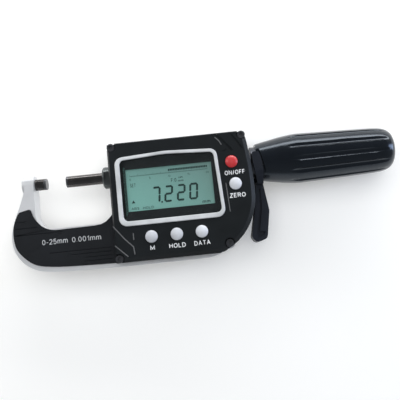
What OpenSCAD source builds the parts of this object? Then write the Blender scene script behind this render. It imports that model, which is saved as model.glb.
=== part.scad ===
// Outside micrometer with a digital display, a fluted handle and a finger lever.
// Millimetres. X runs along the measuring line towards the handle, Y towards the top edge
// of the housing, Z out of the display. The origin is the centre of the anvil's face.

/* [Measuring line] */

// Radius of the anvil and of the spindle
spindle_r = 3.25; // [3:0.05:4]
// Gap between the two measuring faces at rest
rest_gap = 11.5; // [0:0.5:25]
// Length of each hard measuring tip
tip_len = 1.2; // [0.8:0.1:2]
// Left face of the round nut where the spindle enters the housing
nut_x = 32.8; // [32:0.1:34]
// Radius of that nut
nut_r = 6.3; // [5.5:0.1:6.5]
// Radius of the spindle's thinner tail
tail_r = 2.4; // [2.2:0.05:2.6]
// Radial running clearance of shafts in their bores
run = 0.05; // [0.02:0.01:0.1]

/* [Frame] */

// Half thickness of the frame's arm
arm_z = 5.5; // [5:0.1:5.6]
// Throat wall beside the anvil
throat_x = -6.5; // [-7:0.1:-6]
// Throat floor
throat_y = -26.6; // [-28:0.1:-25]
// Radius of the throat's two lower corners
throat_r = 9.3; // [7:0.1:10]
// Radius of the boss that holds the anvil
boss_r = 5.2; // [4.8:0.1:5.5]
// Thickness of the grip plates on the frame
plate_t = 1; // [0.6:0.1:1.4]

/* [Housing] */

// Left edge of the housing
house_x = 37.7; // [37:0.1:38]
// Top edge of the housing
house_top = 16.8; // [16:0.1:17.5]
// Bottom edge of the covers
house_bot = -49.8; // [-50.5:0.1:-49]
// Half thickness of the housing's middle layer
mid_z = 6; // [5.6:0.1:6]
// Front face of the front cover
front_z = 13.5; // [13.2:0.1:14]
// Back face of the rear cover
back_z = -14.5; // [-15:0.1:-14.3]
// Height of the corner lugs above the middle layer
lug_z = 10.2; // [9.5:0.1:10.6]
// Width of the wide bevel round the front face
bevel_w = 2.3; // [1.5:0.1:2.6]
// Thickness of the front wall
wall_t = 2; // [1.6:0.1:2.2]

/* [Display] */

// Height of the display bezel above the front face
bezel_rise = 0.8; // [0.4:0.1:1]
// Width of the bezel ring
bezel_w = 2.7; // [2.2:0.1:3.2]

/* [Buttons] */

// Radius of each button's cap
cap_r = 3.42; // [3.2:0.01:3.44]
// Top of the button domes
cap_top = 15.3; // [14.6:0.1:15.6]
// How far a button goes down
cap_travel = 0.8; // [0.4:0.1:0.9]

/* [Lever and gears] */

// Pivot of the lever along the measuring line
pivot_x = 120.6; // [120.4:0.1:120.8]
// Gear module
gear_m = 0.7; // [0.7:0.01:0.7]
// Teeth of a full circle of the lever's sector
sector_n = 72; // [72:1:72]
// Teeth of the small pinion
pinion_n = 10; // [10:1:10]
// Teeth of the large gear under the rack
gear_n = 32; // [32:1:32]
// Pressure angle of all teeth
press_a = 27; // [25:1:28]
// Slack between meshing teeth
backlash = 0.12; // [0.1:0.01:0.16]
// Pitch line of the rack below the measuring line
rack_y = -2.7; // [-2.7:0.1:-2.7]

/* [Handle] */

// Far end of the handle
handle_end = 200.1; // [195:0.1:205]
// Largest radius of the handle
handle_r = 14.3; // [13:0.1:14.5]
// Number of flutes along the handle
flutes = 12; // [8:1:12]

/* [Hidden] */

$fn = 96;

// middle line of the gear train
pitch_sector = gear_m * sector_n / 2;
pitch_pinion = gear_m * pinion_n / 2;
pitch_gear = gear_m * gear_n / 2;
gear_y = rack_y - pitch_gear;
gear_x = pivot_x - sqrt(pow(pitch_sector + pitch_pinion, 2) - pow(gear_y, 2));
mesh_a = atan2(-gear_y, pivot_x - gear_x);
addendum = 0.8 * gear_m;
dedendum = 1.05 * gear_m;

// cover screws: one at each corner
lugs = [[40, 14.9], [113.6, 14.8], [39.9, -47.7], [101, -45]];

// button centres: mode, hold, data, power, zero
button_at = [[58.6, -37.2], [72.5, -37.2], [86.3, -37.2], [106.5, -0.3], [107.5, -12.8]];

// spindle lengths
face_x = rest_gap;
shoulder_x = 66;
tail_end = 154;
rack_x0 = 77.6;
rack_x1 = 111.8;

// handle seat on the neck
neck_x = 118.2;
neck_r = 9;
shank_r = 4.8;
step_x = 125.2;

// coin cell
cell_at = [60, -28];
cell_r = 10;

// ---------- small helpers ----------

// smooth curve through control points
function spline_at(a, b, c, d, t) =
  0.5 * ((2 * b) + (c - a) * t + (2 * a - 5 * b + 4 * c - d) * t * t
  + (3 * b - a - 3 * c + d) * t * t * t);
function clampi(i, n) = i < 0 ? 0 : (i > n - 1 ? n - 1 : i);
function spline(p, k) = let (n = len(p)) concat(
  [for (i = [0 : n - 2]) for (j = [0 : k - 1])
    spline_at(p[clampi(i - 1, n)], p[i], p[i + 1], p[clampi(i + 2, n)], j / k)],
  [p[n - 1]]);

// polygon with each corner rounded by its own radius
function unit(v) = v / norm(v);
function corner(a, b, c, r, k) = let (
    u = unit(a - b),
    v = unit(c - b),
    h = acos(u * v) / 2,
    t = r / tan(h),
    m = b + unit(u + v) * (r / sin(h)),
    s = b + u * t - m,
    e = b + v * t - m,
    sa = atan2(s[1], s[0]),
    raw = atan2(e[1], e[0]) - sa,
    da = raw > 180 ? raw - 360 : (raw < -180 ? raw + 360 : raw))
  [for (i = [0 : k]) m + r * [cos(sa + da * i / k), sin(sa + da * i / k)]];
function rounded(p, r, k = 6) = let (n = len(p)) [for (i = [0 : n - 1])
  each corner(p[(i + n - 1) % n], p[i], p[(i + 1) % n], r[i], k)];

// right edge of the housing at height y, and the rounded lower corner
function edge_x(y) = 118 - pow(y + 15, 2) / 380;
function outline(i, top, left, bot) = let (
    t1 = asin(min(1, (-17.5 - bot - i) / (33.3 - i))))
  concat(
    [[left + i, top - i], [left + i, bot + i]],
    [for (j = [0 : 10]) let (t = t1 - t1 * j / 10)
      [88 + (30 - i) * cos(t), -17.5 - (33.3 - i) * sin(t)]],
    [for (j = [1 : 5]) let (y = -17.5 + (top - i + 17.5) * j / 5) [edge_x(y) - i, y]]);

module along_x(x0, x1, r) {
  translate([x0, 0, 0])
    rotate([0, 90, 0])
      cylinder(r = r, h = x1 - x0);
}

module slab(z0, z1) {
  translate([0, 0, z0])
    linear_extrude(z1 - z0)
      children();
}

module disc(p, r, z0, z1) {
  translate([p[0], p[1], z0])
    cylinder(r = r, h = z1 - z0);
}

module block(x0, x1, y0, y1, z0, z1) {
  translate([x0, y0, z0])
    cube([x1 - x0, y1 - y0, z1 - z0]);
}

// wedge that cuts a sloping edge outside the line p to q, which runs anticlockwise
module edge_wedge(p, q, inset, depth, ztop) {
  l = norm(q - p);
  a = atan2(q[1] - p[1], q[0] - p[0]);
  translate([p[0], p[1], 0])
    rotate([0, 0, a])
      translate([-3, 0, 0])
        rotate([90, 0, 90])
          linear_extrude(l + 6)
            polygon([[2 * inset, ztop + depth], [-inset, ztop - 2 * depth], [-inset, ztop + depth]]);
}

// straight shallow groove from p to q in a face at height z
module groove(p, q, w, d, z) {
  a = atan2(q[1] - p[1], q[0] - p[0]);
  translate([p[0], p[1], z - d])
    rotate([0, 0, a])
      translate([-w / 2, -w / 2, 0])
        cube([norm(q - p) + w, w, d + 2]);
}

// one involute tooth flank: polar angle and radius from the base circle
function inv_a(rb, r) = let (t = sqrt(pow(r / rb, 2) - 1)) t * 180 / PI - atan(t);
function tooth_half(n, r) = let (
    rp = gear_m * n / 2,
    rb = rp * cos(press_a))
  (PI * gear_m / 2 - backlash / 2) / rp / 2 * 180 / PI + inv_a(rb, rp) - inv_a(rb, max(r, rb));
function tooth_points(n, a) = let (
    rp = gear_m * n / 2,
    rb = rp * cos(press_a),
    rr = rp - dedendum,
    ra = rp + addendum,
    rs = max(rb, rr) + 0.001,
    k = 4)
  concat(
    [(rr) * [cos(a - tooth_half(n, rs)), sin(a - tooth_half(n, rs))]],
    [for (i = [0 : k]) let (r = rs + (ra - rs) * i / k, h = tooth_half(n, r))
      r * [cos(a - h), sin(a - h)]],
    [for (i = [k : -1 : 0]) let (r = rs + (ra - rs) * i / k, h = tooth_half(n, r))
      r * [cos(a + h), sin(a + h)]],
    [(rr) * [cos(a + tooth_half(n, rs)), sin(a + tooth_half(n, rs))]]);
function gear_points(n, a0) = [for (i = [0 : n - 1]) each tooth_points(n, a0 + 360 * i / n)];

// ---------- frame ----------

module arm_outline() {
  polygon(concat(
    [[house_x + 4, -51.8], [house_x + 4, 0], [-7, 0]],
    spline([[-12.4, 0], [-11.9, -3], [-13.6, -8.4], [-15.5, -13.3], [-17.4, -17.8], [-19.2, -23],
      [-20.3, -28], [-20.3, -33], [-19.4, -37], [-17.1, -41.3], [-14, -44.9], [-8.7, -48.4],
      [-2.5, -50.2], [6.5, -51], [20, -51.5], [house_x, -51.8]], 4)));
}

module throat() {
  translate([throat_x, throat_y + throat_r])
    square([house_x - throat_x, 60]);
  translate([throat_x + throat_r, throat_y])
    square([house_x - throat_x - 2 * throat_r, 60]);
  translate([throat_x + throat_r, throat_y + throat_r])
    circle(throat_r);
  translate([house_x - throat_r, throat_y + throat_r])
    circle(throat_r);
}

// middle layer of the housing: stands out 1.6 mm below the covers and draws back
// beside the lever, so the lever can swing in between the covers
module mid_outline() {
  difference() {
    polygon(outline(-1.8, house_top - 1.8, house_x + 1.8, -50));
    // the strip's free end curves up to meet the covers
    polygon([[86, -52.5], [86, -51.8], [89, -51.7], [92, -51.2], [95, -50.3], [97.2, -49.2], [97.2, -52.5]]);
    difference() {
      translate([97, -60])
        square([30, 50.6]);
      polygon(outline(4.4, house_top, house_x, house_bot));
      translate([lugs[3][0], lugs[3][1]])
        circle(3);
    }
    difference() {
      translate([97, -9.4])
        square([30, 40]);
      polygon(outline(0, house_top, house_x, house_bot));
    }
  }
}

module frame() {
  color([0.78, 0.79, 0.8])
    difference() {
      union() {
        slab(-arm_z, arm_z)
          difference() {
            arm_outline();
            throat();
          }
        slab(-mid_z, mid_z)
          mid_outline();
        along_x(-13.3, throat_x, boss_r);
      }
      // bore for the anvil
      along_x(-11.5, 0, spindle_r);
      // seat for the nut and the front guide
      along_x(house_x - 1, 60, 4.7);
      // open channel for the spindle's tail, rack and scale
      block(59.5, 106, -5, 5.5, -4, 7);
      // pocket for the large gear, and the recess for its bridge
      disc([gear_x, gear_y], pitch_gear + 1, -2.4, 7);
      block(gear_x - 15, gear_x + 15, gear_y - 2.8, gear_y + 2.8, 2.6, 7);
      disc([gear_x, gear_y], 1.3, -7, 0);
      for (s = [-1, 1])
        disc([gear_x + 13.4 * s, gear_y], 0.8, -1.5, 3);
      // seat of the neck
      along_x(105, 120, shank_r);
      for (p = lugs)
        disc(p, 1, -7, 7);
      // two pockets that lighten the middle layer, and the slot for the cell's contact
      block(42, 79, -45.5, -8, -4, 7);
      block(46, 108, 8.6, 12.8, -4, 7);
      block(cell_at[0] - 3, cell_at[0] + 3, cell_at[1] + 13.2, cell_at[1] + 14.4, -7, 0);
    }
}

module plate_outline() {
  polygon(concat(
    [[house_x, -49.4], [house_x, -21.6]],
    [[35.2, -23.9], [33.2, -25.6], [30.4, -26.9], [26.5, -27.3], [5, -27.5]],
    spline([[5, -27.5], [1.5, -27], [-2.3, -25.2], [-5, -22.6], [-7, -19.8], [-8.2, -17], [-8.7, -15.2]], 4),
    spline([[-9.5, -14.5], [-12.2, -15], [-15.2, -15.7]], 3),
    spline([[-16.2, -16.8], [-18, -20.6], [-19.1, -25], [-19.2, -30], [-18.3, -35], [-16.3, -38.7],
      [-12.8, -42.5], [-9.2, -45.2], [-4.6, -46.9], [5, -48.2], [20, -48.9], [house_x, -49.4]], 3)));
}

// shallow grip lines
module plate_lines(z) {
  groove([-17, -21.4], [-11.5, -21.4], 0.35, 0.3, z);
  groove([-17.8, -25.1], [-5.5, -25.1], 0.35, 0.3, z);
  groove([-18, -28.9], [8, -28.9], 0.35, 0.3, z);
  groove([0.5, -40.3], [35, -40.3], 0.35, 0.3, z);
  groove([12.5, -42.4], [35, -42.4], 0.35, 0.3, z);
  groove([20, -44.6], [35, -44.6], 0.35, 0.3, z);
  groove([20, -46.7], [35, -46.7], 0.35, 0.3, z);
}

module front_grip_plate() {
  color([0.16, 0.17, 0.19])
    difference() {
      slab(arm_z, arm_z + plate_t)
        difference() {
          plate_outline();
          translate([house_x - 0.6, -60])
            square([5, 60]);
        }
      plate_lines(arm_z + plate_t);
    }
}

module rear_grip_plate() {
  color([0.16, 0.17, 0.19])
    slab(-arm_z - plate_t, -arm_z)
      difference() {
        plate_outline();
        translate([house_x - 0.6, -60])
          square([5, 60]);
      }
}

// ---------- measuring line ----------

module anvil() {
  color([0.72, 0.73, 0.75])
    along_x(-11.5, -tip_len, spindle_r);
}

module anvil_tip() {
  color([0.5, 0.5, 0.52])
    along_x(-tip_len, 0, spindle_r);
}

module spindle_tip() {
  color([0.5, 0.5, 0.52])
    along_x(face_x, face_x + tip_len, spindle_r);
}

module spindle() {
  color([0.72, 0.73, 0.75])
    difference() {
      union() {
        along_x(face_x + tip_len, shoulder_x, spindle_r);
        along_x(shoulder_x, tail_end, tail_r);
      }
      // flat for the rack and flat for the scale
      block(rack_x0, rack_x1, -6, -1, -5, 5);
      block(71, 95, -5, 5, 1.7, 6);
    }
}

module guide_nut() {
  color([0.6, 0.61, 0.63])
    difference() {
      rotate([0, 90, 0])
        rotate_extrude()
          polygon([[0, nut_x], [nut_r - 0.9, nut_x], [nut_r, nut_x + 0.9], [nut_r, house_x], [0, house_x]]);
      along_x(nut_x - 1, house_x + 1, spindle_r + run);
      along_x(nut_x + 0.8, nut_x + 2.4, spindle_r + 1.2);
      // two flats for a spanner
      for (s = [-1, 1])
        translate([nut_x + 1.6, -8, s > 0 ? 5.8 : -8.8])
          cube([10, 16, 3]);
    }
}

module wiper_ring() {
  color([0.06, 0.06, 0.06])
    difference() {
      along_x(nut_x + 0.8, nut_x + 2.4, spindle_r + 1.2);
      along_x(nut_x, nut_x + 4, spindle_r + 0.02);
    }
}

module front_guide() {
  color([0.7, 0.58, 0.3])
    difference() {
      along_x(house_x, 59.5, 4.7);
      along_x(house_x - 1, 61, spindle_r + run);
    }
}

module rear_guide() {
  color([0.7, 0.58, 0.3])
    difference() {
      along_x(128, 138, 4.5);
      along_x(127, 139, tail_r + run);
    }
}

module tail_nut() {
  color([0.6, 0.61, 0.63])
    difference() {
      along_x(150.2, tail_end - 0.4, 4);
      along_x(150, tail_end + 1, tail_r);
    }
}

module rack() {
  p = PI * gear_m;
  w = p / 2 - backlash / 2;
  ta = w / 2 - addendum * tan(press_a);
  tb = w / 2 + 0.7 * tan(press_a);
  k0 = ceil((rack_x0 + 1.2 - gear_x) / p);
  k1 = floor((rack_x1 - 1.2 - gear_x) / p);
  color([0.66, 0.67, 0.69])
    slab(-1.2, 1.2)
      polygon(concat(
        [[rack_x1, -2], [rack_x1, -1], [rack_x0, -1], [rack_x0, -2]],
        [for (k = [k0 : k1]) each [
          [gear_x + k * p - tb, -2],
          [gear_x + k * p - ta, rack_y - addendum],
          [gear_x + k * p + ta, rack_y - addendum],
          [gear_x + k * p + tb, -2]]]));
}

module scale_strip() {
  color([0.75, 0.62, 0.3])
    block(71, 95, -1.4, 1.4, 1.7, 2.3);
}

// ---------- gear train ----------

module gear_arbor() {
  color([0.66, 0.67, 0.69])
    disc([gear_x, gear_y], 1, -12.8, 4.2);
}

module large_gear() {
  color([0.76, 0.62, 0.28])
    translate([gear_x, gear_y, -1.8])
      difference() {
        linear_extrude(3.6)
          polygon(gear_points(gear_n, 90 + 180 / gear_n));
        translate([0, 0, -1])
          cylinder(r = 1, h = 6);
        for (a = [0 : 72 : 288])
          rotate([0, 0, a])
            translate([5.8, 0, -1])
              cylinder(r = 2.1, h = 6);
      }
}

module small_pinion() {
  color([0.66, 0.67, 0.69])
    translate([gear_x, gear_y, -10.6])
      difference() {
        linear_extrude(1.8)
          polygon(gear_points(pinion_n, mesh_a));
        translate([0, 0, -1])
          cylinder(r = 1, h = 4);
      }
}

module gear_bridge() {
  color([0.76, 0.62, 0.28])
    difference() {
      block(gear_x - 14.9, gear_x + 14.9, gear_y - 2.7, gear_y + 2.7, 2.6, 4);
      disc([gear_x, gear_y], 1 + run, 2, 5);
      for (s = [-1, 1])
        disc([gear_x + 13.4 * s, gear_y], 0.8, 2, 5);
    }
}

module bridge_screws() {
  color([0.6, 0.61, 0.63])
    for (s = [-1, 1])
      translate([gear_x + 13.4 * s, gear_y, 0])
        difference() {
          union() {
            translate([0, 0, -1])
              cylinder(r = 0.8, h = 5.5);
            translate([0, 0, 4])
              cylinder(r = 1.4, h = 1);
          }
          translate([-2, -0.2, 4.6])
            cube([4, 0.4, 1]);
        }
}

// ---------- lever ----------

module sector_gear() {
  color([0.66, 0.67, 0.69])
    difference() {
      union() {
        disc([pivot_x, 0], 3.4, -10.7, -8.7);
        translate([pivot_x, 0, -10.7])
          linear_extrude(2)
            polygon(concat(
              [1.5 * [cos(299), sin(299)], 1.5 * [cos(120), sin(120)]],
              [for (k = [3 : -1 : -4]) let (a = mesh_a + 180 - (k + 0.5) * 5)
                each tooth_points(sector_n, a)]));
      }
      disc([pivot_x, 0], 1.5 + run, -12, -8);
      for (a = [-10.5, 1, 12.5])
        translate([pivot_x + 16.5 * cos(mesh_a + 180 + a), 16.5 * sin(mesh_a + 180 + a), -12])
          cylinder(r = 1.4, h = 5);
      disc([pivot_x - 0.3, -6.4], 0.8, -12, -8);
    }
}

module sector_rivet() {
  color([0.6, 0.61, 0.63])
    disc([pivot_x - 0.3, -6.4], 0.8, -12.4, -8.7);
}

module cheek_outline() {
  polygon(rounded([[118.2, 4.5], [118.7, -2], [119.4, -8], [120.2, -13.6], [123.4, -13.6],
    [124, -6.5], [123.6, -1], [122.5, 4.4]], [1.1, 8, 8, 0.5, 0.5, 8, 6, 1.3], 4));
}

module lever_outline() {
  polygon(rounded([[119.8, -10], [123, -10], [123.5, -14], [125.3, -28.8], [122.5, -44.4], [116, -46.1],
    [113.9, -42.6], [117.2, -28]], [0.4, 0.4, 12, 3.4, 3, 2.6, 2.4, 30], 6));
}

// groove along the lever's broad faces, with a wider pocket at the free end
module lever_hollow() {
  polygon([[121.6, -16], [121.5, -22], [121.3, -26.7], [120.2, -32.2], [119.3, -36.6], [118.8, -39.8],
    [121.9, -40.4], [121.2, -42], [119.4, -43.2], [117.5, -43.4], [117.1, -41], [118, -36.4],
    [119, -31.8], [120.2, -26.3], [120.4, -22], [120.5, -16]]);
}

module lever() {
  color([0.1, 0.1, 0.11])
    difference() {
      union() {
        slab(8.7, 11.5)
          cheek_outline();
        slab(-12.4, -10.7)
          cheek_outline();
        slab(-5.5, 5.5)
          intersection() {
            lever_outline();
            translate([110, -50])
              square([20, 37.8]);
          }
        // bridge under the neck
        slab(-12.4, 9.8)
          polygon([[120.2, -12.1], [123.4, -12.1], [123.4, -13.6], [120.2, -13.6]]);
      }
      // the front cheek slopes back below the pin
      translate([115, -6.4, 11.5])
        rotate([22, 0, 0])
          translate([0, -12, 0])
            cube([12, 12, 6]);
      slab(4.2, 8)
        lever_hollow();
      slab(-8, -4.2)
        lever_hollow();
      disc([pivot_x, 0], 1.5 + run, 8, 11);
      disc([pivot_x, 0], 1.5 + run, -13, -10);
      disc([pivot_x - 0.3, -6.4], 0.8, -13, -10);
    }
}

module pivot_pins() {
  color([0.66, 0.67, 0.69]) {
    disc([pivot_x, 0], 1.5, 6, 10.9);
    disc([pivot_x, 0], 1.5, -12.2, -6);
  }
}

// ---------- neck and handle ----------

module neck() {
  color([0.14, 0.14, 0.15])
    difference() {
      union() {
        along_x(106, neck_x, shank_r);
        along_x(neck_x, step_x, neck_r);
        along_x(step_x, 150, neck_r - 1);
      }
      // flats for the lever's fork
      for (s = [-1, 1])
        translate([neck_x - 0.5, -12, s > 0 ? 8.5 : -13.5])
          cube([7.7, 24, 5]);
      along_x(100, 130, 2.9);
      along_x(127, 160, 4.5);
      // keyway that lets the rack pass and stops the spindle turning
      block(100, 128, -3.7, 0, -1.25, 1.25);
      disc([pivot_x, 0], 1.5, 6, 12);
      disc([pivot_x, 0], 1.5, -12, -6);
    }
}

module handle() {
  color([0.07, 0.07, 0.08])
    difference() {
      rotate([0, 90, 0])
        rotate_extrude()
          polygon([[0, 121.2], [10.2, 121.2], [10.5, 121.6], [10.7, 122.1], [12, 129], [12.75, 133],
            [13.3, 136], [13.75, 139.5], [14.15, 143], [handle_r, 145.5], [14.15, 150], [13.95, 157],
            [13.75, 164], [13.55, 171], [13.3, 178], [13.05, 185], [12.85, 189], [12.55, 192.5],
            [12, 195.1], [11.1, 197.2], [9.8, 198.7], [8.1, 199.6], [5.8, 200], [3.5, handle_end],
            [0, handle_end]]);
      // seat on the neck, and the room for the spindle's tail
      along_x(120, step_x, neck_r);
      along_x(step_x - 1, 150, neck_r - 1);
      along_x(149, 188, 6);
      // openings for the lever's fork and for the lever
      for (s = [-1, 1])
        slab(s > 0 ? 8.4 : -14.4, s > 0 ? 14.4 : -8.4)
          polygon([[119, -9], [125.7, -9], [125.4, -6], [124.2, 0], [123.6, 3], [123.2, 5.8],
            [122.4, 6.6], [119, 6.6]]);
      // flutes
      for (i = [0 : flutes - 1])
        rotate([i * 360 / flutes + 9, 0, 0])
          translate([138, 0, 15.75])
            rotate([0, 91.66, 0])
              cylinder(r = 2, h = 70);
    }
}

// ---------- covers ----------

module front_cover() {
  o = outline(0, house_top, house_x, house_bot);
  n = len(o);
  color([0.2, 0.21, 0.24])
    difference() {
      union() {
        slab(mid_z, lug_z)
          polygon(o);
        slab(lug_z, front_z)
          difference() {
            polygon(outline(0.1, house_top, house_x, house_bot));
            for (p = lugs)
              translate(p)
                circle(2.8);
            for (i = [0, 1])
              translate([lugs[i][0] + (i == 0 ? -2.8 : 0), lugs[i][1]])
                square([2.8, 4]);
            translate([lugs[2][0] - 4, lugs[2][1] - 4])
              square([4, 6]);
          }
      }
      // wide bevel along the bottom and the right, narrow bevel elsewhere
      for (i = [1 : 16])
        edge_wedge(o[i], o[i + 1], bevel_w, 1.8, front_z);
      edge_wedge(o[n - 1], o[0], 0.7, 0.7, front_z);
      edge_wedge(o[0], o[1], 1.2, 2, front_z);
      // room for the display and the circuit board
      slab(mid_z - 1, front_z - wall_t)
        difference() {
          polygon(outline(4.6, house_top, house_x, house_bot));
          for (p = lugs)
            translate(p)
              circle(3.6);
        }
      slab(mid_z, front_z + 1)
        window_outline(0);
      slab(front_z - 0.3, front_z + 1)
        bezel_outline(0.05);
      for (p = button_at)
        disc(p, cap_r + 0.08, mid_z, front_z + 1);
      for (p = lugs)
        disc(p, 1.1, 0, front_z);
      cover_grooves();
    }
}

// decorative lines in the front face
module cover_grooves() {
  z = front_z;
  groove([38, -29.6], [43.75, -37], 0.6, 0.35, z);
  groove([43.75, -37], [48.3, -41.8], 0.6, 0.35, z);
  groove([48.3, -41.8], [48.75, -46], 0.6, 0.35, z);
  groove([38.2, -40.2], [45, -46.8], 0.6, 0.35, z);
  groove([48.75, -34.4], [48.75, -38], 0.6, 0.35, z);
  groove([96.2, 17], [100.6, 12.4], 0.6, 0.35, z);
  groove([100.6, 12.4], [102, 9.8], 0.6, 0.35, z);
  groove([98.6, 17], [107.2, 6.5], 1.2, 0.5, z);
  groove([107.2, 6.5], [110.4, 6.3], 1, 0.5, z);
  groove([106.7, 17], [113, 7.2], 1.2, 0.5, z);
  groove([102.2, 5.9], [104.2, 6.6], 0.6, 0.35, z);
  groove([102.2, -12], [102.9, -28], 0.6, 0.35, z);
}

module rear_cover() {
  o = outline(0, house_top, house_x, house_bot);
  n = len(o);
  color([0.2, 0.21, 0.24])
    difference() {
      slab(back_z, -mid_z)
        polygon(o);
      // narrow bevel round the back face
      mirror([0, 0, 1])
        for (i = [0 : n - 1])
          edge_wedge(o[i], o[(i + 1) % n], 0.9, 0.9, -back_z);
      // coin cell and its lid
      disc(cell_at, cell_r + 0.3, -13.6, -8.9);
      disc(cell_at, cell_r + 2, back_z - 1, -13.1);
      block(cell_at[0] - 3, cell_at[0] + 3, cell_at[1] + 6, cell_at[1] + 15, -9.7, -5);
      // lightening pockets
      block(44, 90, -11.5, 12.4, -12.8, -5);
      block(76, 90, -44.5, -18, -12.8, -5);
      // swing of the lever's sector, and the pinion
      translate([pivot_x, 0, -10.9])
        linear_extrude(2.4)
          polygon(concat([[0, 4.2]], [for (a = [176 : 4 : 244]) 26.6 * [cos(a), sin(a)]], [[4, -6]]));
      disc([gear_x, gear_y], pitch_pinion + 1, -10.9, -8.5);
      disc([gear_x, gear_y], 1 + run, -13, -5);
      for (p = lugs) {
        disc(p, 1.1, -20, 0);
        disc(p, 2.3, -20, -12.8);
      }
    }
}

module cell_lid() {
  color([0.13, 0.13, 0.14])
    difference() {
      disc(cell_at, cell_r + 1.9, back_z, -13.1);
      block(cell_at[0] - 6, cell_at[0] + 6, cell_at[1] - 0.9, cell_at[1] + 0.9, back_z - 1, back_z + 0.8);
    }
}

module coin_cell() {
  color([0.75, 0.76, 0.77])
    disc(cell_at, cell_r, -12.9, -9.7);
}

module cell_contact() {
  color([0.8, 0.66, 0.3])
    union() {
      block(cell_at[0] - 2.4, cell_at[0] + 2.4, cell_at[1] - 6, cell_at[1] + 14, -9.6, -9.2);
      block(cell_at[0] - 2.4, cell_at[0] + 2.4, cell_at[1] + 13.6, cell_at[1] + 14, -9.6, mid_z);
    }
}

module screw_set(flip) {
  for (p = lugs)
    translate([p[0], p[1], 0])
      mirror([0, 0, flip])
        difference() {
          union() {
            translate([0, 0, flip == 1 ? 12.8 : lug_z])
              cylinder(r = flip == 1 ? 2.1 : 2.2, h = flip == 1 ? 1.4 : 1.6);
            translate([0, 0, 1])
              cylinder(r = 1, h = lug_z);
          }
          translate([0, 0, flip == 1 ? 13.2 : lug_z + 0.5])
            cylinder(r = 1.25, h = 3, $fn = 6);
        }
}

module front_screws() {
  color([0.3, 0.31, 0.33])
    screw_set(0);
}

module rear_screws() {
  color([0.3, 0.31, 0.33])
    for (p = lugs)
      translate([p[0], p[1], 0])
        difference() {
          union() {
            translate([0, 0, -14.2])
              cylinder(r = 2.1, h = 1.4);
            translate([0, 0, -12.9])
              cylinder(r = 1, h = 11.9);
          }
          translate([0, 0, -15])
            cylinder(r = 1.25, h = 1.8, $fn = 6);
        }
}

// ---------- display ----------

module bezel_outline(g) {
  polygon(rounded([[41.7 - g, 8.1 + g], [41.7 - g, -30.4 - g], [100.6 + g, -30.4 - g], [98.8 + g, 8 + g],
    [70, 9.6 + g]], [4.4, 4.6, 4.6, 4.2, 60], 7));
}

// opening in the bezel: the rim is narrower above and on the right
module bezel_opening() {
  w = bezel_w;
  polygon(rounded([[41.7 + w, 9 - w], [41.7 + w, -30.4 + w], [101.3 - w, -30.4 + w], [99.6 - w, 8.9 - w],
    [70, 10.5 - w]], [2.6, 2.8, 2.8, 2.6, 60], 7));
}

module window_outline(g) {
  polygon(rounded([[43.2 - g, 7.2 + g], [43.2 - g, -28.8 - g], [99.2 + g, -28.8 - g], [97.6 + g, 7.1 + g],
    [70, 8.7 + g]], [3.2, 3.2, 3.2, 3.2, 60], 5));
}

module display_bezel() {
  color([0.9, 0.91, 0.92])
    slab(front_z - 0.3, front_z + bezel_rise)
      difference() {
        bezel_outline(0);
        bezel_opening();
      }
}

module display_window() {
  color([0.7, 0.8, 0.8, 0.35])
    slab(front_z - 1.1, front_z - 0.3)
      window_outline(-0.1);
}

module display_mask() {
  color([0.22, 0.24, 0.25])
    slab(10.6, front_z - 1.1)
      difference() {
        window_outline(-0.1);
        translate([47, -22.35])
          square([48.2, 23.75]);
      }
}

module lcd_panel() {
  color([0.6, 0.72, 0.7])
    block(45.6, 96.4, -24.4, 3, 9.4, 10.6);
}

module lcd_backing() {
  color([0.9, 0.9, 0.88])
    block(45.6, 96.4, -24.4, 3, mid_z + 1.2, 9.4);
}

module circuit_board() {
  color([0.1, 0.32, 0.16])
    slab(mid_z, mid_z + 1.2)
      difference() {
        polygon(outline(4.8, house_top, house_x, house_bot));
        for (p = lugs)
          translate(p)
            circle(3.8);
      }
}

module read_head() {
  color([0.12, 0.12, 0.13])
    block(66, 84, -3.4, 3.4, 3.8, mid_z);
}

module key_switches() {
  color([0.8, 0.8, 0.78])
    for (p = button_at)
      disc(p, 2.6, mid_z + 1.2, 9.2);
}

// ---------- buttons ----------

module button_cap(p) {
  translate([p[0], p[1], 0]) {
    intersection() {
      translate([0, 0, 11])
        cylinder(r = cap_r, h = 6);
      translate([0, 0, cap_top - 5.2])
        sphere(r = 5.2);
    }
    translate([0, 0, 10.6])
      cylinder(r = cap_r + 0.7, h = 0.8);
    translate([0, 0, 10.1])
      cylinder(r = 1.2, h = 1);
  }
}

module button_mode() {
  color([0.88, 0.89, 0.9])
    button_cap(button_at[0]);
}

module button_hold() {
  color([0.88, 0.89, 0.9])
    button_cap(button_at[1]);
}

module button_data() {
  color([0.88, 0.89, 0.9])
    button_cap(button_at[2]);
}

module button_power() {
  color([0.85, 0.2, 0.24])
    button_cap(button_at[3]);
}

module button_zero() {
  color([0.88, 0.89, 0.9])
    button_cap(button_at[4]);
}

// ---------- list of pieces ----------

frame();
front_grip_plate();
rear_grip_plate();
anvil();
anvil_tip();
spindle_tip();
spindle();
guide_nut();
wiper_ring();
front_guide();
rear_guide();
tail_nut();
rack();
scale_strip();
gear_arbor();
large_gear();
small_pinion();
gear_bridge();
bridge_screws();
sector_gear();
sector_rivet();
lever();
pivot_pins();
neck();
handle();
front_cover();
rear_cover();
cell_lid();
coin_cell();
cell_contact();
front_screws();
rear_screws();
display_bezel();
display_window();
display_mask();
lcd_panel();
lcd_backing();
circuit_board();
read_head();
key_switches();
button_mode();
button_hold();
button_data();
button_power();
button_zero();
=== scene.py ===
import math

import bmesh
import bpy
from mathutils import Matrix, Vector


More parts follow.
